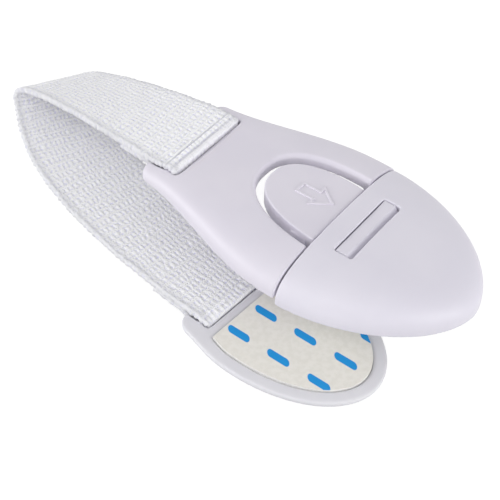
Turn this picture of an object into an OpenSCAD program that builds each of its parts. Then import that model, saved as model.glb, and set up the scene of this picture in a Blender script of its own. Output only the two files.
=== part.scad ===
// Strap lock for a cabinet door, folded for storage: a stick-on anchor with its adhesive
// side up, a webbing strap bent back over it, and a latch made of a plug and a receiver.
// The origin is on the anchor's adhesive face, +Z points out of that face,
// and +X runs along the latch from the strap to the nose.

/* [Strap] */
// Width of the webbing
strap_w = 20; // [17:0.5:23]
// Thickness of the webbing
strap_t = 1; // [0.7:0.05:1.2]
// How far the folded loop reaches behind the latch
loop_reach = 40; // [34:1:56]

/* [Strap bars] */
// Diameter of the bar that each strap end goes round
bar_d = 2; // [1.6:0.1:2.4]
// Radial running fit of the strap on its bar
bar_fit = 0.05; // [0.02:0.01:0.1]
// Gap between the wrapped strap and the front of its slot
slot_gap = 0.25; // [0.15:0.05:0.4]
// Gap between the strap's edge and the ear beside it
strap_side_gap = 0.2; // [0.1:0.05:0.4]

/* [Latch] */
// Width of the latch at its seam
latch_w = 40.6; // [38:0.2:46]
// Height of the latch, from the receiver's underside to its crown
latch_h = 7.6; // [7.2:0.1:9]
// Length of the receiver's nose, from seam to tip
nose_len = 29.8; // [28:0.2:36]
// Length of the plug, from seam to strap slot
plug_len = 31; // [28:0.5:36]
// Length of the plug's ears beside the strap
ear_len = 7; // [6:0.25:9]
// Thickness of each ear
ear_wall = 2.8; // [2:0.1:3.4]
// Wall of the moulded shells
shell_wall = 1.5; // [1.2:0.1:1.7]
// Gap of the seam between plug and receiver
seam_gap = 0.3; // [0.2:0.05:0.5]
// How much the receiver stands proud of the plug at the seam
seam_step = 0.15; // [0:0.05:0.4]
// How far the plug's underside stays above the receiver's at the seam
plug_rise = 1.2; // [0.8:0.1:1.4]
// How much the plug's underside climbs towards its ears
tail_lift = 1.9; // [1.6:0.1:2.1]
// How much the plug's crown falls towards its ears
tail_drop = 1.5; // [1.2:0.1:1.6]
// Height of the plug's strap bar above the receiver's underside
bar_rise = 4.7; // [4.55:0.05:4.75]
// How far the strap slot's front edge is scooped forward at its middle
lip_len = 0.9; // [0.6:0.1:1.2]
// Depth of that scoop below the crown
lip_depth = 0.6; // [0.4:0.1:0.8]

/* [Press tab] */
// Width of the tab where it meets the seam
tab_w = 16.8; // [15:0.2:17]
// Length of the tab, from seam to rounded end
tab_len = 16.8; // [14:0.2:18]
// Width of the open groove round the tab
tab_groove = 1.9; // [1.4:0.1:2.2]
// Depth of the wall round the groove, below the crown
groove_depth = 3.4; // [2.8:0.1:3.5]
// How much the groove widens at its mouth
groove_flare = 1.1; // [0.6:0.1:1.3]
// Depth over which the groove widens
groove_flare_h = 1.5; // [1.2:0.1:1.8]
// How far the groove lies to the far side of the tab
groove_side = 0.4; // [0:0.1:0.6]
// How far the tab lies below the crown
tab_recess = 0.7; // [0.5:0.1:1]
// How far the rim under the tab hangs below its pad
tab_rim_h = 2; // [1.2:0.1:2.1]
// Thickness of that rim
tab_rim_t = 1.2; // [0.9:0.1:1.4]
// Thickness of the spring tongue that carries the tab
tongue_t = 1.2; // [1:0.1:1.4]
// Gap between the tongue and the receiver's wall above it
tongue_gap = 0.5; // [0.4:0.05:0.7]
// How far the tab's rounded end leans to the far side
tab_lean = 1.4; // [0:0.1:1.6]
// Length of the arrow on the tab
arrow_len = 8; // [6:0.5:9]
// How far the arrow lies to the far side of the middle
arrow_side = 1.4; // [0:0.1:2]

/* [Catch] */
// Distance from the seam to the catch window
window_x = 4.3; // [4:0.1:5.5]
// Size of the window along the latch
window_w = 3.7; // [3.4:0.05:4]
// Size of the window across the latch
window_l = 16.6; // [15:0.2:16.8]
// Play between the catch and the window's locking edge
lock_gap = 0.15; // [0.15:0.05:0.3]
// How far the locking edge falls back through the wall, to clear the catch as it drops
lock_back = 0.25; // [0.25:0.05:0.4]
// Gap between the catch and the other edges of the window
catch_gap = 0.2; // [0.15:0.05:0.3]
// How far the catch's high edge lies below the crown
catch_sink = 0.35; // [0.3:0.05:0.5]

/* [Plug insert] */
// Distance from the seam to the tongue's root
root_x = 18; // [17:0.25:18.5]
// Diameter of the tongue's rounded root
root_d = 1.7; // [1.4:0.1:1.9]
// Radial running fit of the root in the crosspiece
root_fit = 0.05; // [0.02:0.01:0.1]
// Thickness of the crosspiece that holds the root
cross_t = 1.8; // [1.6:0.1:2]
// Thickness of each arm that carries the crosspiece
arm_t = 1.8; // [1.5:0.1:1.9]
// Height of the arms
arm_h = 2.4; // [2.2:0.1:2.5]
// Gap between the sliding arms and what guides them
guide_gap = 0.2; // [0.1:0.05:0.3]

/* [Receiver base] */
// Thickness of the receiver's base plate
base_t = 1.2; // [1:0.1:1.3]
// Gap between the base plate and the cover's wall
base_fit = 0.2; // [0.15:0.05:0.3]
// Height of the guide rails on the base plate
rail_h = 1.5; // [1:0.1:1.8]
// Thickness of the guide rails
rail_t = 1; // [0.8:0.1:1.2]

/* [Adhesive pads] */
// Thickness of the foam pads
foam_t = 1; // [0.8:0.1:1.2]
// Thickness of the release liners
liner_t = 0.12; // [0.1:0.02:0.2]
// Margin between the receiver's foam and the edge of its underside
foam_margin = 2.2; // [1.8:0.1:3]

/* [Anchor] */
// Length of the anchor
anchor_len = 36.8; // [34:0.4:44]
// Width of the anchor
anchor_w = 29.8; // [29:0.2:34]
// Height of the anchor's moulding
anchor_h = 3.9; // [3.8:0.1:5]
// Length of the anchor's ears beside the strap
anchor_ear_len = 5.5; // [5:0.1:6]
// How much narrower the anchor is over its ears
anchor_taper = 1.7; // [1.2:0.1:2]
// Width of the rim round the foam
rim_w = 2.6; // [2:0.1:3]
// How far the foam stands proud of the rim
foam_proud = 0.25; // [0.15:0.05:0.4]
// Gap between the foam and the rim
foam_gap = 0.15; // [0.1:0.05:0.3]
// Width of the bare strip between strap slot and foam
strip_w = 2; // [1.6:0.2:4]
// Depth of the anchor's strap bar below the adhesive face
bar_sink = 1.75; // [1.7:0.05:2]

/* [Fold] */
// Height of the folded latch above the anchor's adhesive face
fold_gap = 7.6; // [6:0.2:12]
// How far the folded latch lies beside the anchor
fold_side = 17.5; // [12:0.5:22]
// How far the latch's seam lies behind the anchor's middle
fold_back = 3.8; // [0:0.2:8]
// Angle of the anchor to the latch, in degrees
anchor_turn = -4; // [-8:1:4]

/* [Hidden] */

// One overrun serves every cut
over = 1;

// Powers of the rounded outlines and of the crown
nose_power = 1.8;
crown_power = 3;
tail_crown_power = 4.6;
tab_power = 2.4;
tail_power = 1.5;
// Counts of the lofted shells
arch_steps = 32;
nose_steps = 22;
plug_steps = 24;
outline_steps = 30;
run_steps = 22;
wrap_steps = 10;
flap_steps = 3;
// The nose's last section stops this angle short of its tip
tip_deg = 88.5;

// Where the plug begins and ends to narrow, as shares of its length
plug_taper_shares = [0.1, 1];
// Radii that round the tail corners in plan
ear_round = 1.5;
anchor_round = 2.6;
// Where the anchor's straight sides turn into its round end, as a share of its half length
anchor_bend_share = -0.33;
// Inset and height of the rings of the anchor's rounded back, as shares of its height
anchor_ring_shares = [[0.95, 0], [0.72, 0.1], [0.42, 0.27], [0.17, 0.5], [0.03, 0.68], [0, 0.82],
                      [0, 0.95], [0.04, 1]];

// Handles of the strap's edges from bar to fold: shares of the reach, the width and the height
near_run_shares = [[0.16, 0, -0.13], [1.1, 0.05, 0.273], [1, -0.075, -0.234]];
far_run_shares = [[0.16, 0, 0.063], [1.2, 0, -0.545], [0.94, -0.15, -0.708]];
near_fold_shares = [0.93, -0.175, -0.627];
far_fold_shares = [0.74, -0.25, -0.78];
// Handles at the anchor, as shares of the reach
near_end_share = 1.3;
far_end_share = 1.18;
// Stretch of each run that its folded-back end covers, as shares of the run's curve
upper_flap_shares = [0.3, 0.19];
lower_flap_shares = [0.965, 0.915];
// Where each half of the strap stops short of the fold line
fold_stop_share = 0.983;
// Gap left between the two layers at a folded-back end
layer_gap = 0.1;
// Angle round the bar where the strap leaves it again
wrap_deg = 130;

// Arrow on the tab, as shares of its length
arrow_head_share = 0.52;
arrow_barb_share = 0.36;
arrow_shaft_share = 0.16;
arrow_line_share = 0.06;
arrow_raise = 0.2;
// Level part of the catch as a share of its length, and its toe as a share of its height
catch_level_share = 0.68;
catch_toe_share = 0.2;

latch_at = [-fold_back, fold_side, fold_gap];
tail_len = plug_len + ear_len;
notch_w = strap_w + 2 * strap_side_gap;
ear_half = notch_w / 2 + ear_wall;
wrap_r = bar_d / 2 + bar_fit + strap_t / 2;
bar_back = slot_gap + strap_t + bar_fit + bar_d / 2;
bar_len = notch_w + ear_wall / 2;

tab_half = tab_w / 2;
tab_top = latch_h - tab_recess;
tongue_top = latch_h - shell_wall - tongue_gap;
tongue_half = tab_half - guide_gap;
arm_in = tab_half + guide_gap;
arm_z = base_t + guide_gap;
arm_top = arm_z + arm_h;
root_z = arm_top - root_d / 2;
tongue_lap = tab_len / 3;
pad_base = tongue_top - tongue_t / 2;
rim_front = -seam_gap - shell_wall - guide_gap;
tongue_bend = window_x + window_w + lock_gap;
rail_in = arm_in + arm_t + guide_gap;
rail_from = shell_wall;
rail_to = root_x - cross_t;

anchor_half_len = anchor_len / 2;
anchor_slot_x = anchor_ear_len - anchor_half_len;
tray_x = anchor_slot_x + strip_w;
rim_top = -liner_t - foam_proud;
tray_floor = -liner_t - foam_t;
anchor_z = rim_top - anchor_h;

yaw = [cos(anchor_turn), sin(anchor_turn), 0];
across = [-sin(anchor_turn), cos(anchor_turn), 0];
plug_bar = latch_at + [-plug_len - bar_back, 0, bar_rise];
anchor_bar = (anchor_slot_x - bar_back) * yaw + [0, 0, -bar_sink];
loop_h = plug_bar.z - anchor_bar.z;

function smooth(t) = t <= 0 ? 0 : t >= 1 ? 1 : t * t * (3 - 2 * t);
function super(u, p) = u >= 1 ? 0 : pow(1 - pow(max(u, 0), p), 1 / p);
function unit(v) = v / norm(v);
function between(pair, t) = pair[0] + (pair[1] - pair[0]) * t;
// What a corner of radius r takes off the width, a distance s before the end
function corner(s, r) = s >= r ? 0 : r - sqrt(r * r - pow(r - max(s, 0), 2));

// Half width and crown of the nose at x, inset by d all round
function nose_half(x, d) = (latch_w / 2 - d) * super(x / (nose_len - d), nose_power);
function nose_top(x, d) = (latch_h - d) * super(x / (nose_len - d), crown_power);

// Half width, underside and crown of the plug at a distance b behind the seam, inset by d
function plug_half(b, d) =
    let (from = plug_taper_shares[0], to = plug_taper_shares[1])
    let (narrow = smooth((b / tail_len - from) / (to - from)))
    let (wide = latch_w / 2 - seam_step)
    wide - (wide - ear_half) * narrow - corner(tail_len - b, ear_round) - d;
function plug_floor(b) = plug_rise + tail_lift * pow(b / tail_len, tail_power);
function plug_top(b, d) =
    latch_h - seam_step - tail_drop * pow(b / tail_len, tail_power) - plug_floor(b) - d;

// One arched section across the latch at x, with its foot dropped by foot
function arch(x, z, half, top, foot, power) = concat(
    foot > 0 ? [[x, half, z - foot]] : [],
    [for (j = [0 : arch_steps])
        let (a = 180 * j / arch_steps, c = cos(a))
        [x, half * sign(c) * pow(abs(c), 2 / power), z + top * pow(max(sin(a), 0), 2 / power)]],
    foot > 0 ? [[x, -half, z - foot]] : []);

// A solid through a row of sections that have the same number of points
module loft(rows) {
    m = len(rows[0]);
    last = len(rows) - 1;
    sides = [for (i = [0 : last - 1], j = [0 : m - 1])
        let (k = (j + 1) % m, a = i * m, b = (i + 1) * m)
        each [[a + j, b + j, b + k], [a + j, b + k, a + k]]];
    start = [for (j = [0 : m - 1]) j];
    end = [for (j = [m - 1 : -1 : 0]) last * m + j];
    polyhedron([for (row = rows) each row], concat(sides, [start, end]));
}

// Stations along the nose, crowded towards its tip
function nose_xs(d, from) = [for (i = [0 : nose_steps])
    from + (nose_len - d - from) * sin(tip_deg * i / nose_steps)];

module nose_solid(d = 0, from = 0, foot = 0) {
    loft([for (x = nose_xs(d, from)) arch(x, 0, nose_half(x, d), nose_top(x, d), foot, crown_power)]);
}

// Plan of the nose's inside, from a distance behind the seam
function nose_plan(d, from) = let (xs = nose_xs(d, from)) concat(
    [for (x = xs) [x, -nose_half(x, d)]],
    [for (i = [nose_steps : -1 : 0]) [xs[i], nose_half(xs[i], d)]]);

// The plug's dome between two distances behind the seam
module plug_solid(b0, b1, d = 0, foot = 0) {
    loft([for (i = [plug_steps : -1 : 0])
        let (b = b0 + (b1 - b0) * (1 - cos(180 * i / plug_steps)) / 2)
        let (power = between([crown_power, tail_crown_power], smooth(b / tail_len)))
        arch(-b, plug_floor(b), plug_half(b, d), plug_top(b, d), foot, power)]);
}

// Plan of the tab or of the groove round it, closed at a front line before or past the seam
function tab_plan(half, length, front) = concat(
    front > 0 ? [[front, half], [front, -half]] : [],
    [for (i = [0 : outline_steps])
        let (a = 180 * i / outline_steps - 90, s = sin(a))
        let (x = -length * pow(max(cos(a), 0), 2 / tab_power), lean = -x * tab_lean / tab_len)
        [min(front, x), lean + half * sign(s) * pow(abs(s), 2 / tab_power)]]);

// A profile in X and Z, drawn out evenly to both sides
module across_latch(width) {
    rotate([90, 0, 0])
        linear_extrude(width, center = true)
            children();
}

// A round bar across the latch or the anchor
module cross_bar(d, length) {
    rotate([90, 0, 0])
        cylinder(d = d, h = length, center = true, $fn = 48);
}

// Plan of the anchor, inset by d, from a place along its length
function anchor_half(x, d) =
    let (bend = anchor_bend_share * anchor_half_len, end = anchor_half_len - d)
    let (flank = anchor_w / 2 - d)
    x > bend
        ? flank * super((x - bend) / (end - bend), 2)
        : flank - anchor_taper * smooth((bend - x) / (bend + end)) - corner(x + end, anchor_round);
function anchor_plan(d, from) =
    let (end = anchor_half_len - d)
    let (xs = [for (i = [0 : outline_steps]) from + (end - from) * (1 - cos(180 * i / outline_steps)) / 2])
    concat([for (x = xs) [x, -anchor_half(x, d)]],
           [for (i = [outline_steps - 1 : -1 : 0]) [xs[i], anchor_half(xs[i], d)]]);

// Cubic curve through its end points, and its direction
function bend(p, t) =
    pow(1 - t, 3) * p[0] + 3 * t * pow(1 - t, 2) * p[1] + 3 * t * t * (1 - t) * p[2] + t * t * t * p[3];
function heading(p, t) =
    pow(1 - t, 2) * (p[1] - p[0]) + 2 * t * (1 - t) * (p[2] - p[1]) + t * t * (p[3] - p[2]);

// A place on the loop, in shares of its reach, the strap's width and the loop's height
function loop_point(start, s) = start + [-s.x * loop_reach, s.y * strap_w, s.z * loop_h];
function run_start(side) = plug_bar + [0, side * strap_w / 2, wrap_r];
function run_end(side) = anchor_bar + side * strap_w / 2 * across + [0, 0, wrap_r];
function upper_edge(side, shares) =
    let (start = run_start(side))
    concat([start], [for (s = shares) loop_point(start, s)]);
function lower_edge(side, shares, fold_shares, end_share) =
    let (start = run_start(side), end = run_end(side))
    [loop_point(start, shares[2]), loop_point(start, fold_shares), end - end_share * loop_reach * yaw, end];

upper_near = upper_edge(-1, near_run_shares);
upper_far = upper_edge(1, far_run_shares);
lower_near = lower_edge(-1, near_run_shares, near_fold_shares, near_end_share);
lower_far = lower_edge(1, far_run_shares, far_fold_shares, far_end_share);

// One section of the webbing between its near and far edge
function band(near, far, out) =
    let (h = out * strap_t / 2)
    [near + h, far + h, far - h, near - h];
function run_out(near, far, t) =
    unit(cross(bend(far, t) - bend(near, t), heading(near, t) + heading(far, t)));
function run_band(near, far, t) = band(bend(near, t), bend(far, t), run_out(near, far, t));
// The folded-back end lies on the bar's side of the run
function flap_band(near, far, t, side) =
    let (out = run_out(near, far, t), shift = side * (strap_t + layer_gap) * out)
    band(bend(near, t) + shift, bend(far, t) + shift, -out);
function wrap_band(bar, along, sideways, a, face) =
    let (radial = cos(a) * along + [0, 0, sin(a)], middle = bar + wrap_r * radial)
    band(middle - strap_w / 2 * sideways, middle + strap_w / 2 * sideways, face * radial);

wrap_angles = [for (i = [0 : wrap_steps]) between([90, -wrap_deg], i / wrap_steps)];

module anchor_shell() {
    color("#e4e3e9")
        rotate(anchor_turn) {
            difference() {
                loft([for (r = anchor_ring_shares)
                    let (d = r[0] * anchor_h)
                    [for (p = anchor_plan(d, d - anchor_half_len)) [p.x, p.y, anchor_z + r[1] * anchor_h]]]);
                translate([0, 0, tray_floor])
                    linear_extrude(foam_t + over)
                        polygon(anchor_plan(rim_w, tray_x));
                translate([-anchor_half_len - over, -notch_w / 2, anchor_z - over])
                    cube([anchor_ear_len + over, notch_w, anchor_h + 2 * over]);
            }
            translate([anchor_slot_x - bar_back, 0, -bar_sink])
                cross_bar(bar_d, bar_len);
        }
}

module anchor_foam() {
    color("#f2f1ee")
        rotate(anchor_turn)
            translate([0, 0, tray_floor])
                linear_extrude(foam_t)
                    polygon(anchor_plan(rim_w + foam_gap, tray_x + foam_gap));
}

module anchor_liner() {
    color("#dedbd4")
        rotate(anchor_turn)
            translate([0, 0, -liner_t])
                linear_extrude(liner_t)
                    polygon(anchor_plan(rim_w + foam_gap, tray_x + foam_gap));
}

module strap_lower_run() {
    color("#e8e8f2")
        loft(concat(
            [for (i = [0 : run_steps - 1])
                let (t = (1 - fold_stop_share) + fold_stop_share * i / run_steps)
                run_band(lower_near, lower_far, t)],
            [for (a = wrap_angles) wrap_band(anchor_bar, yaw, across, a, -1)],
            [for (i = [0 : flap_steps])
                flap_band(lower_near, lower_far, between(lower_flap_shares, i / flap_steps), 1)]));
}

module strap_upper_run() {
    color("#efeff3")
        loft(concat(
            [for (i = [0 : flap_steps])
                flap_band(upper_near, upper_far, between(upper_flap_shares, i / flap_steps), -1)],
            [for (i = [wrap_steps : -1 : 0])
                wrap_band(plug_bar, [1, 0, 0], [0, 1, 0], wrap_angles[i], 1)],
            [for (i = [1 : run_steps])
                run_band(upper_near, upper_far, fold_stop_share * i / run_steps)]));
}

// The groove's outline, grown by d
function groove_plan(d) = [for (p = tab_plan(tab_half + tab_groove + d, tab_len + tab_groove + d, over))
    [p.x, p.y + groove_side]];

// The groove's outline, grown by d, from a height upwards
module groove_prism(d, z) {
    translate([0, 0, z])
        linear_extrude(latch_h)
            polygon(groove_plan(d));
}

// The groove's wider mouth
module groove_mouth() {
    loft([for (d = [groove_flare, 0])
        [for (p = groove_plan(d)) [p.x, p.y, latch_h - groove_flare_h * (1 - d / groove_flare)]]]);
}

// The scoop in the front edge of the plug's strap slot
module slot_lip() {
    translate([-plug_len, 0, plug_floor(plug_len) + plug_top(plug_len, 0) - lip_depth])
        scale([lip_len, notch_w / 2, latch_h])
            cylinder(r = 1, h = 1);
}

module plug_shell() {
    color("#dcd9e2")
        translate(latch_at) {
            difference() {
                plug_solid(seam_gap, tail_len);
                difference() {
                    plug_solid(seam_gap + shell_wall, plug_len - shell_wall, shell_wall, over);
                    groove_prism(shell_wall, latch_h - groove_depth);
                }
                groove_prism(0, arm_top);
                groove_mouth();
                slot_lip();
                translate([-seam_gap - shell_wall - over, -arm_in, -over])
                    cube([shell_wall + seam_gap + 2 * over, 2 * arm_in, latch_h + over]);
                translate([-tail_len - over, -notch_w / 2, -over])
                    cube([ear_len + over, notch_w, latch_h + 2 * over]);
            }
            for (side = [-1, 1])
                translate([-seam_gap - shell_wall, side * (arm_in + arm_t / 2) - arm_t / 2, arm_z])
                    cube([seam_gap + shell_wall + root_x + cross_t, arm_t, arm_h]);
            difference() {
                translate([root_x, -arm_in - arm_t / 2, arm_z])
                    cube([cross_t, 2 * arm_in + arm_t, arm_h]);
                translate([root_x, 0, root_z])
                    cross_bar(root_d + 2 * root_fit, 2 * arm_in);
            }
            translate([-plug_len - bar_back, 0, bar_rise])
                cross_bar(bar_d, bar_len);
        }
}

// Outline of the arrow, drawn in by e
module arrow_plan(e) {
    tip = arrow_len / 2;
    head = arrow_len * arrow_head_share;
    barb = arrow_len * arrow_barb_share;
    shaft = arrow_len * arrow_shaft_share - e;
    slant = e * norm([head, barb]);
    neck = tip - head + e;
    wing = (barb * (head - e) - slant) / head;
    polygon([[e - tip, -shaft], [neck, -shaft], [neck, -wing], [tip - slant / barb, 0],
             [neck, wing], [neck, shaft], [e - tip, shaft]]);
}

module press_tab() {
    color("#dad7e1")
        translate(latch_at) {
            translate([0, 0, pad_base])
                linear_extrude(tab_top - pad_base)
                    polygon(tab_plan(tab_half, tab_len, -seam_gap));
            translate([0, 0, pad_base - tab_rim_h])
                linear_extrude(tab_rim_h + tongue_t / 2)
                    difference() {
                        polygon(tab_plan(tab_half, tab_len, rim_front));
                        offset(delta = -tab_rim_t)
                            polygon(tab_plan(tab_half, tab_len, rim_front));
                    }
            translate([rim_front - tab_rim_t, -tongue_half, pad_base - tab_rim_h])
                cube([tab_rim_t - rim_front - seam_gap, 2 * tongue_half, tab_rim_h + tongue_t / 2]);
            across_latch(2 * tongue_half)
                polygon([[-tongue_lap, tongue_top], [tongue_bend, tongue_top],
                         [root_x, root_z + tongue_t / 2], [root_x, root_z - tongue_t / 2],
                         [tongue_bend, tongue_top - tongue_t], [-tongue_lap, tongue_top - tongue_t]]);
            translate([root_x, 0, root_z])
                cross_bar(root_d, 2 * tongue_half);
            translate([-tab_len / 2 + arrow_len / 4, arrow_side, tab_top])
                linear_extrude(arrow_raise)
                    difference() {
                        arrow_plan(0);
                        arrow_plan(arrow_len * arrow_line_share);
                    }
        }
}

module tab_catch() {
    lock = window_x + lock_gap;
    toe = window_x + window_w - catch_gap;
    crest = latch_h - catch_sink;
    color("#d6d3dd")
        translate(latch_at)
            across_latch(window_l - 2 * catch_gap)
                polygon([[lock, tongue_top], [lock, crest], [between([lock, toe], catch_level_share), crest],
                         [toe, between([tongue_top, crest], catch_toe_share)], [toe, tongue_top]]);
}

module receiver_cover() {
    color("#d9d7e2")
        translate(latch_at)
            difference() {
                nose_solid();
                nose_solid(shell_wall, -over, over);
                across_latch(window_l)
                    polygon([[window_x, latch_h + over], [window_x, latch_h],
                             [window_x - lock_back, latch_h - shell_wall], [window_x - lock_back, latch_h / 2],
                             [window_x + window_w, latch_h / 2], [window_x + window_w, latch_h + over]]);
            }
}

module receiver_base() {
    color("#e2e0e8")
        translate(latch_at) {
            linear_extrude(base_t)
                polygon(nose_plan(shell_wall + base_fit, 0));
            for (side = [-1, 1])
                translate([rail_from, side * (rail_in + rail_t / 2) - rail_t / 2, base_t / 2])
                    cube([rail_to - rail_from, rail_t, base_t / 2 + rail_h]);
        }
}

module receiver_foam() {
    color("#f2f1ee")
        translate(latch_at - [0, 0, foam_t])
            linear_extrude(foam_t)
                polygon(nose_plan(foam_margin, foam_margin));
}

module receiver_liner() {
    color("#dedbd4")
        translate(latch_at - [0, 0, foam_t + liner_t])
            linear_extrude(liner_t)
                polygon(nose_plan(foam_margin, foam_margin));
}

anchor_shell();
anchor_foam();
anchor_liner();
strap_lower_run();
strap_upper_run();
plug_shell();
press_tab();
tab_catch();
receiver_cover();
receiver_base();
receiver_foam();
receiver_liner();
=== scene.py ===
# %% [markdown]
# # Dressing a strap lock for a studio picture
# The lock keeps a cabinet door shut. It has a stick-on anchor, a length of white webbing, and an
# egg-shaped latch whose nose pulls off when the tab on top is pressed. The solids already give
# every place and size, so this script only adds what solids lack: soft moulded edges, a woven
# strap, printed paper, a floor, light and a camera.

# %% Load the solids
import math
import bmesh
import bpy
from mathutils import Matrix, Vector


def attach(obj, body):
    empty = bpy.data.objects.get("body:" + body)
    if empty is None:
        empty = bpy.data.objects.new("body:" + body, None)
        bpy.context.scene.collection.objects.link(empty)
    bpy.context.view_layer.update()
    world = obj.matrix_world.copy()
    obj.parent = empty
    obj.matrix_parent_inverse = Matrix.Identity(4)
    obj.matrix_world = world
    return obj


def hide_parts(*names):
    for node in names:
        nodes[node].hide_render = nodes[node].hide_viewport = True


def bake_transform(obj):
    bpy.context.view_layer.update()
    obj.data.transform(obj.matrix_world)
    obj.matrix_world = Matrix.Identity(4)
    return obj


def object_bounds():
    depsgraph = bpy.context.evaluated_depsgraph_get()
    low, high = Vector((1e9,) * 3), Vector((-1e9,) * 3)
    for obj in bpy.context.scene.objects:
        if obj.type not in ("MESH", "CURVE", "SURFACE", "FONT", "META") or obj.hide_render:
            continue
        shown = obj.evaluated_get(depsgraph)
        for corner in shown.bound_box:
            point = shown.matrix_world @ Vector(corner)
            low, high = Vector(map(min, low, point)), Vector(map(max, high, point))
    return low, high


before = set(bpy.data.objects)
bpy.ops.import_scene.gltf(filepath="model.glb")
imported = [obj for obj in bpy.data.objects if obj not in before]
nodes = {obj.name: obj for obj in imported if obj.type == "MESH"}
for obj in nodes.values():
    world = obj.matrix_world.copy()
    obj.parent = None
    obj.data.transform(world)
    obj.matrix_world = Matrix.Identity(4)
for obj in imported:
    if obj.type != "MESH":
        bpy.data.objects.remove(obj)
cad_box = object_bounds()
MM = 0.001
print("solids:", ", ".join(sorted(nodes)))

# %% [markdown]
# ## Camera
# The picture looks down on the lock at about 47 degrees, past the nose, through a long lens. A
# camera is easiest to place from three directions: to the right, ahead and up. A small roll then
# turns the first and the last of them about the second.

# %% Place the camera
LATCH_TOP = Vector((-3.8, 17.5, 15.2))
LEFT_OF_LATCH = 16.74
BELOW_LATCH = 6.95
CAMERA_AWAY = 221.14
turn = math.radians(35.83)
tilt = math.radians(47)
roll = math.radians(2.13)
level = Vector((math.cos(turn), math.sin(turn), 0))
ahead = Vector((-math.sin(turn) * math.cos(tilt), math.cos(turn) * math.cos(tilt), -math.sin(tilt)))
upright = level.cross(ahead)
right = math.cos(roll) * level + math.sin(roll) * upright
up = math.cos(roll) * upright - math.sin(roll) * level
aim = LATCH_TOP - LEFT_OF_LATCH * right - BELOW_LATCH * up
lens = bpy.data.cameras.new("camera")
lens.lens = 86.4
lens.sensor_width = 36
lens.clip_start = 0.01
camera = bpy.data.objects.new("camera", lens)
bpy.context.scene.collection.objects.link(camera)
pose = Matrix((right, up, -ahead)).transposed().to_4x4()
pose.translation = (aim - CAMERA_AWAY * ahead) * MM
camera.matrix_world = pose
bpy.context.scene.camera = camera
bpy.context.scene.view_settings.view_transform = "Standard"
print("camera at", [round(v, 4) for v in pose.translation])

# %% [markdown]
# ## Shader sums
# A finish is a small sum: a colour plus some noise, a bump where threads cross. Written as node
# links that takes dozens of lines, so a Wire stands for one socket and joins in Python sums: each
# operator adds one Math node. A Finish holds the nodes of one material, or of the world, and its
# node method makes any other kind of node.

# %% Wires
class Wire:
    def __init__(self, finish, socket):
        self.finish = finish
        self.socket = socket

    def out(self, name):
        return Wire(self.finish, self.socket.node.outputs[name])

    def math(self, operation, first, second=0.0):
        return self.finish.node("ShaderNodeMath", {"operation": operation}, {0: first, 1: second})

    def __add__(self, other):
        return self.math("ADD", self, other)

    def __radd__(self, other):
        return self.math("ADD", other, self)

    def __sub__(self, other):
        return self.math("SUBTRACT", self, other)

    def __rsub__(self, other):
        return self.math("SUBTRACT", other, self)

    def __mul__(self, other):
        return self.math("MULTIPLY", self, other)

    def __rmul__(self, other):
        return self.math("MULTIPLY", other, self)

    def __truediv__(self, other):
        return self.math("DIVIDE", self, other)

    def __pow__(self, other):
        return self.math("POWER", self, other)

    def __abs__(self):
        return self.math("ABSOLUTE", self)

    def sine(self):
        return self.math("SINE", self)

    def floor(self):
        return self.math("FLOOR", self)

    def over(self, least):
        return self.math("MAXIMUM", self, least)


print("reflected forms:", ", ".join(name for name in vars(Wire) if name.startswith("__r")))

# %% Finishes
class Finish:
    def __init__(self, block, shader="Principled BSDF"):
        self.material = block
        self.material.use_nodes = True
        self.tree = self.material.node_tree
        self.shader = self.tree.nodes[shader]

    def node(self, kind, settings, sockets, output=0):
        made = self.tree.nodes.new(kind)
        for key, value in settings.items():
            setattr(made, key, value)
        for key, value in sockets.items():
            self.feed(made.inputs[key], value)
        return Wire(self, made.outputs[output])

    def feed(self, socket, value):
        if isinstance(value, Wire):
            self.tree.links.new(value.socket, socket)
        else:
            socket.default_value = value

    def set(self, **sockets):
        for key, value in sockets.items():
            self.feed(self.shader.inputs[key.replace("_", " ")], value)

    def place(self, kind="Object"):
        return self.node("ShaderNodeTexCoord", {}, {}, kind)

    def noise(self, scale, detail, where=None):
        sockets = {"Vector": where or self.place(), "Scale": scale, "Detail": detail}
        return self.node("ShaderNodeTexNoise", {}, sockets, "Fac")

    def step(self, low, high, value):
        settings = {"interpolation_type": "SMOOTHSTEP"}
        return self.node("ShaderNodeMapRange", settings, {0: value, 1: low, 2: high})

    def mix(self, share, first, second):
        return self.node("ShaderNodeMix", {"data_type": "RGBA"}, {0: share, 6: first, 7: second}, 2)

    def bump(self, height, depth, strength):
        sockets = {"Height": height, "Distance": depth, "Strength": strength}
        self.set(Normal=self.node("ShaderNodeBump", {}, sockets))


def tint(red, green, blue):
    parts = [v / 255 for v in (red, green, blue)]
    return tuple(v / 12.92 if v <= 0.04045 else ((v + 0.055) / 1.055) ** 2.4 for v in parts) + (1.0,)


print("a mid grey is", round(tint(128, 128, 128)[0], 3))

# %% [markdown]
# ## Moulded plastic
# The hard pieces are white polymer with a faint lilac cast, straight from a satin-polished mould.
# Real mouldings are never one flat value: there are soft flow marks, and the gloss wanders a little.
# Slow noise shifts the colour and the roughness by a few hundredths, and a very fine bump gives the
# grain of the mould. The plug, the nose and the anchor come from three moulds, so each has its own
# tint, only a few steps from the next. One function makes all three.

# %% Satin white plastic
FLOW_SCALE = 70
GRAIN_SCALE = 2600
GRAIN_DEPTH = 0.012 * MM


def satin(name, shade, light):
    finish = Finish(bpy.data.materials.new(name))
    flow = finish.noise(FLOW_SCALE, 3.0)
    grain = finish.noise(GRAIN_SCALE, 2.0)
    finish.set(Base_Color=finish.mix(finish.step(0.3, 0.7, flow), shade, light), IOR=1.46)
    finish.set(Roughness=0.34 + 0.1 * flow + 0.04 * grain)
    finish.bump(grain, GRAIN_DEPTH, 0.5)
    return finish


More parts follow.
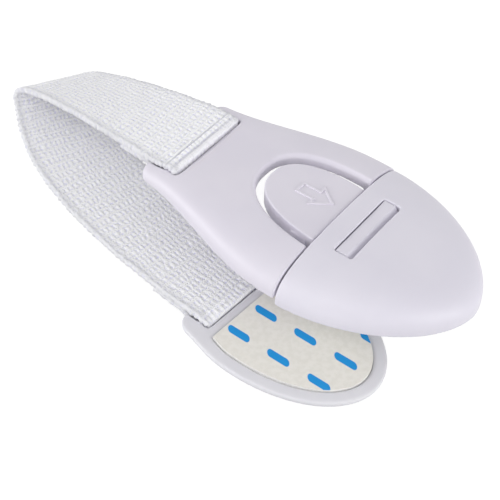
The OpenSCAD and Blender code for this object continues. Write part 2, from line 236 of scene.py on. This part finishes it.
plug_plastic = satin("lilac_white_plastic", tint(223, 219, 230), tint(227, 223, 233))
nose_plastic = satin("satin_white_plastic", tint(223, 220, 231), tint(227, 224, 234))
anchor_plastic = satin("cool_white_plastic", tint(225, 224, 230), tint(229, 228, 233))
print("plastic nodes:", len(nose_plastic.tree.nodes))

# %% [markdown]
# ## Soft edges
# A mould has no knife edges. Bevelling a shell that has been cut by slots and windows leaves messy
# corners, so each shell is a copy of its solid that is rebuilt on a fine grid of voxels and then
# smoothed. The grid spacing and the passes of smoothing set the radius of every edge at once. The
# tab's rim stands above its pad in the solid, so a lid presses its top flat first.

# %% Mould the shells
def add_piece(name, mesh, finish):
    piece = bpy.data.objects.new(name, mesh)
    bpy.context.scene.collection.objects.link(piece)
    mesh.materials.clear()
    mesh.materials.append(finish.material)
    return piece


NO_LID = 1.0
TAB_TOP = 14.5 * MM


def merged_copy(node, lid):
    mesh = nodes[node].data.copy()
    bm = bmesh.new()
    bm.from_mesh(mesh)
    bmesh.ops.remove_doubles(bm, verts=bm.verts, dist=0.0005 * MM)
    for vert in bm.verts:
        vert.co.z = min(vert.co.z, lid)
    bm.to_mesh(mesh)
    bm.free()
    return mesh


def mould(node, body, finish, voxel, passes, lid=NO_LID):
    rough = bpy.data.objects.new("rough", merged_copy(node, lid))
    bpy.context.scene.collection.objects.link(rough)
    grid = rough.modifiers.new("grid", "REMESH")
    grid.mode = "VOXEL"
    grid.voxel_size = voxel * MM
    ease = rough.modifiers.new("ease", "SMOOTH")
    ease.factor = 0.5
    ease.iterations = passes
    solid = rough.evaluated_get(bpy.context.evaluated_depsgraph_get())
    mesh = bpy.data.meshes.new_from_object(solid)
    bpy.data.objects.remove(rough)
    for face in mesh.polygons:
        face.use_smooth = True
    piece = add_piece(node + "_skin", mesh, finish)
    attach(piece, body)
    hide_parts(node)
    print(piece.name, len(mesh.polygons), "faces")


mould("anchor_shell", "anchor", anchor_plastic, voxel=0.26, passes=6)
mould("plug_shell", "plug", plug_plastic, voxel=0.24, passes=5)
mould("receiver_cover", "receiver", nose_plastic, voxel=0.24, passes=5)
mould("press_tab", "tongue", plug_plastic, voxel=0.2, passes=4, lid=TAB_TOP)
mould("tab_catch", "tongue", nose_plastic, voxel=0.12, passes=3)

# %% [markdown]
# ## Arrow on the tab
# A raised outline of an arrow shows which way to push. It is drawn from seven corners, inset to a
# thin line and lifted, so that its edge catches the faint light and shade of a moulded symbol.

# %% Raise the arrow
ARROW_AT = Vector((-10.2, 18.9, 0)) * MM
ARROW_LINE = 0.55 * MM
ARROW_SINK = 0.05 * MM
ARROW_LIFT = 0.29 * MM
ARROW_ROUND = 0.12 * MM
ARROW_SHARP = 1.0


def arrow_line():
    bm = bmesh.new()
    plan = [(-4, -1.5), (-0.16, -1.5), (-0.16, -3.1), (4, 0), (-0.16, 3.1), (-0.16, 1.5), (-4, 1.5)]
    base = ARROW_AT + Vector((0, 0, TAB_TOP - ARROW_SINK))
    corners = [bm.verts.new(base + Vector((x, y, 0)) * MM) for x, y in plan]
    middle = bm.faces.new(corners)
    bm.normal_update()
    bmesh.ops.inset_region(bm, faces=[middle], thickness=ARROW_LINE, use_boundary=True,
                           use_even_offset=True)
    bmesh.ops.delete(bm, geom=[middle], context="FACES_ONLY")
    lifted = bmesh.ops.extrude_face_region(bm, geom=list(bm.faces))["geom"]
    verts = [item for item in lifted if isinstance(item, bmesh.types.BMVert)]
    bmesh.ops.translate(bm, verts=verts, vec=(0, 0, ARROW_LIFT))
    bmesh.ops.recalc_face_normals(bm, faces=bm.faces)
    high = TAB_TOP - ARROW_SINK + ARROW_LIFT / 2
    upper = [edge for edge in bm.edges if min(v.co.z for v in edge.verts) > high]
    rims = [edge for edge in upper if edge.calc_face_angle() > ARROW_SHARP]
    bmesh.ops.bevel(bm, geom=rims, offset=ARROW_ROUND, affect="EDGES", segments=2, profile=0.5,
                    material=-1)
    mesh = bpy.data.meshes.new("press_arrow")
    bm.to_mesh(mesh)
    bm.free()
    return mesh


arrow = add_piece("press_arrow", arrow_line(), plug_plastic)
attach(arrow, "tongue")
print("arrow faces:", len(arrow.data.polygons))

# %% [markdown]
# ## Foam and liner
# Pads of white foam tape sit under the anchor and the receiver. Each still wears its release liner,
# a thin cream paper that peels off before use. The solids have the right shape, so these nodes keep
# their meshes and get finishes: pores for the foam, fibres and a plain print for the paper. The
# print is staggered rows of slanted blue dashes, which needs only the distance to a short line.

# %% Foam tape
def dress(finish, *names):
    for name in names:
        nodes[name].data.materials.clear()
        nodes[name].data.materials.append(finish.material)
    print(finish.material.name, "on", ", ".join(names))


PORE_SCALE = 2200.0
PORE_DEPTH = 0.06 * MM
foam = Finish(bpy.data.materials.new("foam_tape"))
cells = {"Vector": foam.place(), "Scale": PORE_SCALE}
pores = foam.node("ShaderNodeTexVoronoi", {}, cells, "Distance")
# painted shade: the foam is painted darker at the centre of each pore, where the bump sinks it
foam.set(Base_Color=foam.mix(pores, tint(224, 223, 220), tint(240, 239, 236)))
foam.set(Roughness=0.75 + 0.15 * pores)
foam.bump(pores, PORE_DEPTH, 0.6)
dress(foam, "anchor_foam", "receiver_foam")
dress(nose_plastic, "receiver_base")

# %% Release liner
ROW_START = 3.5
ROW_PITCH = 7.0
DASH_PITCH = 9.0
DASH_HALF = 1.7
DASH_SLANT = 0.5
INK_EDGE = (0.72, 0.86)
FIBRE_SCALE = 900
FIBRE_DEPTH = 0.02 * MM
liner = Finish(bpy.data.materials.new("release_liner"))
spot = liner.node("ShaderNodeSeparateXYZ", {}, {0: liner.place()})
across_mm = spot.out("Y") / MM - ROW_START
along_mm = spot.out("X") / MM + DASH_SLANT * across_mm
row = (across_mm / ROW_PITCH).floor()
shift = along_mm / DASH_PITCH + 0.5 * row
from_middle = abs((shift - shift.floor() - 0.5) * DASH_PITCH)
from_row = (across_mm / ROW_PITCH - row - 0.5) * ROW_PITCH
past_end = (from_middle - DASH_HALF).over(0.0)
off_line = (past_end * past_end + from_row * from_row) ** 0.5
ink = 1 - liner.step(*INK_EDGE, off_line)
fibre = liner.noise(FIBRE_SCALE, 4.0)
paper = liner.mix(liner.step(0.35, 0.65, fibre), tint(235, 232, 224), tint(241, 238, 231))
liner.set(Base_Color=liner.mix(ink, paper, tint(16, 150, 225)), Roughness=0.46 + 0.12 * fibre)
liner.bump(fibre, FIBRE_DEPTH, 0.4)
dress(liner, "anchor_liner", "receiver_liner")

# %% [markdown]
# ## Route of the strap
# The strap is one length of coarse white webbing, 20 mm wide. Each end goes round a bar and folds
# back under itself, and the middle doubles back in a loose, slightly twisted loop. A single middle
# line can't carry that twist, so the band is spanned between two edge curves, near and far. Every
# station gives a point on each edge and the direction that the outer face looks in. The knots of a
# curve are shares of the loop's reach, of the strap's width and of the rise between the bars.

# %% Edge curves
WIDE = 20.0
THICK = 1.0
WRAP = 1.55
REACH = 40.0
UNDER = 1.1
PLUG_BAR = Vector((-37.1, 17.5, 12.3))
ANCHOR_BAR = Vector((-15.163, 1.0603, -1.75))
RISE = PLUG_BAR.z - ANCHOR_BAR.z
askew = math.radians(-4)
heading = Vector((math.cos(askew), math.sin(askew), 0))
sideways = Vector((-heading.y, heading.x, 0))


def edge_curves(side, shares, end_share):
    start = PLUG_BAR + Vector((0, side * WIDE / 2, WRAP))
    end = ANCHOR_BAR + side * WIDE / 2 * sideways + Vector((0, 0, WRAP))
    knots = [start + Vector((-x * REACH, y * WIDE, z * RISE)) for x, y, z in shares]
    return [start] + knots[:3], [knots[2], knots[3], end - end_share * REACH * heading, end]


near_up, near_low = edge_curves(-1, [(0.16, 0, -0.13), (1.1, 0.05, 0.273), (1, -0.075, -0.234),
                                     (0.93, -0.175, -0.627)], 1.3)
far_up, far_low = edge_curves(1, [(0.16, 0, 0.063), (1.2, 0, -0.545), (0.94, -0.15, -0.708),
                                  (0.74, -0.25, -0.78)], 1.18)
print("the loop rises", round(RISE, 2), "mm between the bars")

# %% Stations along the strap
def bend(p, t):
    return (1 - t) ** 3 * p[0] + 3 * t * (1 - t) ** 2 * p[1] + 3 * t * t * (1 - t) * p[2] + t ** 3 * p[3]


def slope(p, t):
    return (1 - t) ** 2 * (p[1] - p[0]) + 2 * t * (1 - t) * (p[2] - p[1]) + t * t * (p[3] - p[2])


def on_run(near, far, t, lift=0.0, face=1):
    out = (bend(far, t) - bend(near, t)).cross(slope(near, t) + slope(far, t)).normalized()
    return bend(near, t) + lift * out, bend(far, t) + lift * out, face * out


def on_bar(bar, forward, across, degrees, face):
    angle = math.radians(degrees)
    radial = math.cos(angle) * forward + Vector((0, 0, math.sin(angle)))
    middle = bar + WRAP * radial
    return middle - WIDE / 2 * across, middle + WIDE / 2 * across, face * radial


def spread(first, last, count):
    return [first + (last - first) * i / (count - 1) for i in range(count)]


CREST = 90
TURNED_UNDER = -130
PLUG_END = (0.3, 0.19)
ANCHOR_END = (0.965, 0.915)
TUCK = 12
WRAPPED = 40
UPPER = 190
LOWER = 260
X_AXIS = Vector((1, 0, 0))
Y_AXIS = Vector((0, 1, 0))
stations = [on_run(near_up, far_up, t, -UNDER, -1) for t in spread(*PLUG_END, TUCK)]
stations += [on_bar(PLUG_BAR, X_AXIS, Y_AXIS, a, 1) for a in spread(TURNED_UNDER, CREST, WRAPPED)]
stations += [on_run(near_up, far_up, t) for t in spread(0, 1, UPPER)[1:]]
stations += [on_run(near_low, far_low, t) for t in spread(0, 1, LOWER)[1:]]
last_turn = spread(CREST, TURNED_UNDER, WRAPPED)[1:]
stations += [on_bar(ANCHOR_BAR, heading, sideways, a, -1) for a in last_turn]
stations += [on_run(near_low, far_low, t, UNDER, -1) for t in spread(*ANCHOR_END, TUCK)]
middles = [(near + far) / 2 for near, far, out in stations]
lengths = [0.0]
for before, after in zip(middles, middles[1:]):
    lengths.append(lengths[-1] + (after - before).length)
PLUG_CREST = lengths[TUCK + WRAPPED - 1]
ANCHOR_CREST = lengths[TUCK + WRAPPED + UPPER + LOWER - 3]
print("strap length", round(lengths[-1], 1), "mm over", len(stations), "stations")

# %% [markdown]
# ## Webbing
# A band could be extruded ring by ring, but a plain grid already has the right faces. One side of
# the grid counts places round the strap's cross-section and the other counts stations, so moving
# each corner to its place and merging the seam makes a closed band. The selvedges are rounded, a
# little thicker, and scalloped where the weft turns back. Where the band bends over a bar, its rows
# bunch up into ribs. The weave itself is in the mesh too: thick weft rows cross the strap about every
# millimetre, and the warp threads rise and dip over them. Sine waves give both, and slower waves bend
# the threads, because soft yarn never lies in straight lines. The sum is written once and takes its
# sine from outside, so that the finish can use it again. A map in millimetres goes along for that.

# %% Make the band
THREAD = 0.4
WEFT_PITCH = 0.94
WARP_PITCH = 1.1
SCALLOP_PITCH = 1.2
AROUND = 84
EDGE_SHARE = 0.05
SELVEDGE_FROM = 0.86
SELVEDGE_SWELL = 1.1
RIBS = [(-1.25, 0.5, 0.5), (-0.5, 0.17, -0.14), (0.0, 0.4, 0.24), (0.55, 0.17, -0.12),
        (1.05, 0.35, 0.12), (1.6, 0.17, -0.08)]


def section(count):
    half = [-1 + 2 * i / count for i in range(count + 1)]
    return [(share, 1) for share in half] + [(-share, -1) for share in half] + [(-1, 1)]


def ribs(past_crest):
    return sum(high * math.exp(-((past_crest - at) / wide) ** 2) for at, wide, high in RIBS)


def threads(side_mm, run_mm, sine):
    drift = 0.8 * sine(0.31 * run_mm + 0.23 * side_mm) + 0.5 * sine(1.13 * run_mm - 0.77 * side_mm)
    weft = sine(run_mm * (math.pi / WEFT_PITCH) + drift)
    stray = 1.1 * sine(0.47 * run_mm + 0.9 * side_mm) + 0.6 * sine(1.9 * run_mm - 0.4 * side_mm)
    warp = sine(side_mm * (2 * math.pi / WARP_PITCH) + stray)
    return 0.13 * warp * weft + 0.26 * abs(weft) + 0.11 * warp


def band_point(station, run, share, side):
    near, far, out = station
    edge = max(0.0, (abs(share) - 1 + EDGE_SHARE) / EDGE_SHARE)
    swell = SELVEDGE_SWELL if abs(share) > SELVEDGE_FROM else 1.0
    thick = THICK / 2 * math.sqrt(1 - 0.85 * edge * edge) * swell
    thick += ribs(run - PLUG_CREST if side > 0 else ANCHOR_CREST - run) * (1 - 0.55 * share * share)
    wander = math.sin(run * 0.7) + 0.6 * math.sin(run * 2.3)
    wave = 0.13 * math.sin(2 * math.pi * run / SCALLOP_PITCH + wander)
    scallop = edge * (wave + 0.06 * math.sin(run * 3.9))
    thick += THREAD * threads(share * WIDE / 2, run, math.sin)
    ripple = 0.05 * math.sin(run * 0.83 + 2 * share) * abs(share)
    middle = (near + far) / 2 + share * (1 + scallop / WIDE * 2) * (far - near) / 2
    return (middle + (side * thick + ripple) * out) * MM


def band_mesh():
    ring = section(AROUND)
    places = len(ring) - 1
    rows = len(stations) - 1
    bm = bmesh.new()
    bmesh.ops.create_grid(bm, x_segments=places, y_segments=rows, size=0.5)
    cloth = bm.loops.layers.uv.new("cloth")
    spots = {}
    for vert in bm.verts:
        spots[vert] = (round((vert.co.x + 0.5) * places), round((vert.co.y + 0.5) * rows))
    for face in bm.faces:
        face.smooth = True
        for loop in face.loops:
            i, j = spots[loop.vert]
            loop[cloth].uv = (ring[i][0] * WIDE / 2, lengths[j])
    for vert, (i, j) in spots.items():
        vert.co = band_point(stations[j], lengths[j], *ring[i])
    bmesh.ops.remove_doubles(bm, verts=bm.verts, dist=0.001 * MM)
    bmesh.ops.holes_fill(bm, edges=[edge for edge in bm.edges if edge.is_boundary], sides=0)
    bmesh.ops.recalc_face_normals(bm, faces=bm.faces)
    mesh = bpy.data.meshes.new("webbing_strap")
    bm.to_mesh(mesh)
    bm.free()
    return mesh


webbing_mesh = band_mesh()
print("webbing faces:", len(webbing_mesh.polygons))

# %% [markdown]
# ## Weave
# The finish follows the threads of the mesh, by the same sum on the strap's own map, and adds what is
# too fine for a mesh: noise for the yarn and its fuzz, a random tone. The hollows between threads are
# painted darker and bluer than the crowns, as painted shade, and the selvedges are denser and a little
# greyer. Over the plug's bar the outer rib, on the side of the wrap that faces the slot, gets a painted
# highlight, with a painted shade line in the crease on each side of the next one.

# %% Weave the finish
WEAVE_DEPTH = 0.26 * MM
SELVEDGE_FADE = (8.0, 9.4)
OUTER_RIB = -RIBS[0][0]
RIB_LINE = RIBS[3][0]
weave = Finish(bpy.data.materials.new("white_webbing"))
chart = weave.node("ShaderNodeUVMap", {"uv_map": "cloth"}, {})
parts = weave.node("ShaderNodeSeparateXYZ", {}, {0: chart})
side_mm = parts.out("X")
run_mm = parts.out("Y")
yarn = weave.noise(1.6, 2.0, chart)
fuzz = weave.noise(3.0, 3.0, chart)
crown = 0.5 + threads(side_mm, run_mm, Wire.sine) + 0.8 * (yarn - 0.5) + 1.5 * (fuzz - 0.5)
past_crest = run_mm - PLUG_CREST
# painted highlight: a whiter band on the outer rib, where the wrap over the plug's bar faces the light
painted_rib_highlight = 1 - weave.step(0.35, 0.75, abs(past_crest + OUTER_RIB))
# painted shade: a darker line in the crease on each side of the crest
painted_crease_shade = 1 - weave.step(0.05, 0.3, abs(abs(past_crest) - RIB_LINE))
selvedge = weave.step(*SELVEDGE_FADE, abs(side_mm))
# painted shade: where crown is low, between the threads, the yarn is painted darker and bluer; the yarn
# and fuzz noise in crown adds a random tone
yarn_tone_and_painted_light = weave.mix(weave.step(0.05, 0.75, crown), tint(226, 225, 250), tint(254, 254, 255))
# the painted highlight on the outer rib goes in first, then the painted crease shade
yarn_tone_and_painted_light = weave.mix(0.7 * painted_rib_highlight, yarn_tone_and_painted_light, tint(251, 250, 255))
yarn_tone_and_painted_light = weave.mix(0.5 * painted_crease_shade, yarn_tone_and_painted_light, tint(196, 196, 210))
weave.set(Base_Color=weave.mix(0.55 * selvedge, yarn_tone_and_painted_light, tint(218, 218, 223)))
weave.set(Roughness=0.8 + 0.12 * yarn)
weave.bump(crown, WEAVE_DEPTH, 0.7)
strap = add_piece("webbing_strap", webbing_mesh, weave)
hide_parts("strap_lower_run", "strap_upper_run")
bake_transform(strap)
print("weave nodes:", len(weave.tree.nodes))

# %% [markdown]
# ## Stage and light
# The picture is white on white. A pale floor carries the lock and keeps its soft shadow, and only
# the camera and reflections see it glow, so the glow casts no light on the lock. Around it stands a
# white tent that is brighter near the horizon than overhead, so the flanks of the latch are lighter
# than its top. The tent is open towards the camera, which leaves the near side of the nose a little
# darker. Three large soft lamps, in front, to the right and to the left, give the shoulders their
# light bands and the moulded edges a side.

# %% Floor
FLOOR_HALF = 3.0
FLOOR_DROP = 0.05 * MM
FLOOR_GREY = (0.45, 0.45, 0.45, 1.0)
FLOOR_GLOW = 0.75


def floor_mesh():
    bm = bmesh.new()
    bmesh.ops.create_grid(bm, x_segments=1, y_segments=1, size=FLOOR_HALF)
    bmesh.ops.translate(bm, verts=bm.verts, vec=(0, 0, cad_box[0][2] - FLOOR_DROP))
    mesh = bpy.data.meshes.new("floor")
    bm.to_mesh(mesh)
    bm.free()
    return mesh


paint = Finish(bpy.data.materials.new("studio_floor"))
paint.set(Base_Color=FLOOR_GREY, Roughness=0.9)
path = paint.node("ShaderNodeLightPath", {}, {}, "Is Camera Ray")
seen = path.over(path.out("Is Glossy Ray")).over(path.out("Is Transmission Ray"))
glow = paint.node("ShaderNodeEmission", {}, {"Strength": FLOOR_GLOW * seen})
both = paint.node("ShaderNodeAddShader", {}, {0: Wire(paint, paint.shader.outputs[0]), 1: glow})
paint.feed(paint.tree.nodes["Material Output"].inputs["Surface"], both)
floor = bpy.data.objects.new("floor", floor_mesh())
floor.data.materials.append(paint.material)
bpy.context.scene.collection.objects.link(floor)
print("floor at", round(cad_box[0][2], 5))

# %% Tent and lamps
LAMP_WIDE = 0.5
HORIZON = (1, 1, 1, 1)
OVERHEAD = (0.25, 0.25, 0.25, 1)
DOORWAY = (0.3, 0.3, 0.3, 1)
tent = Finish(bpy.data.worlds.new("white_tent"), "Background")
bpy.context.scene.world = tent.material
look = tent.node("ShaderNodeSeparateXYZ", {}, {0: tent.place("Generated")})
canvas = tent.mix(tent.step(0.0, 1.0, look.out("Z")), HORIZON, OVERHEAD)
opening = tent.step(0.35, 0.9, math.sin(turn) * look.out("X") - math.cos(turn) * look.out("Y"))
tent.set(Color=tent.mix(opening, canvas, DOORWAY), Strength=1.23)


def add_lamp(name, place, power):
    light = bpy.data.lights.new(name, "AREA")
    light.size = LAMP_WIDE
    light.energy = power
    lamp = bpy.data.objects.new(name, light)
    bpy.context.scene.collection.objects.link(lamp)
    lamp.location = place
    lamp.rotation_euler = (-lamp.location).to_track_quat("-Z", "Y").to_euler()


add_lamp("front", (0.0, -0.4, 0.55), power=0.55)
add_lamp("side", (0.57, -0.12, 0.2), power=2.2)
add_lamp("fill", (-0.47, -0.38, 0.22), power=2.1)
print("tent nodes:", len(tent.tree.nodes))
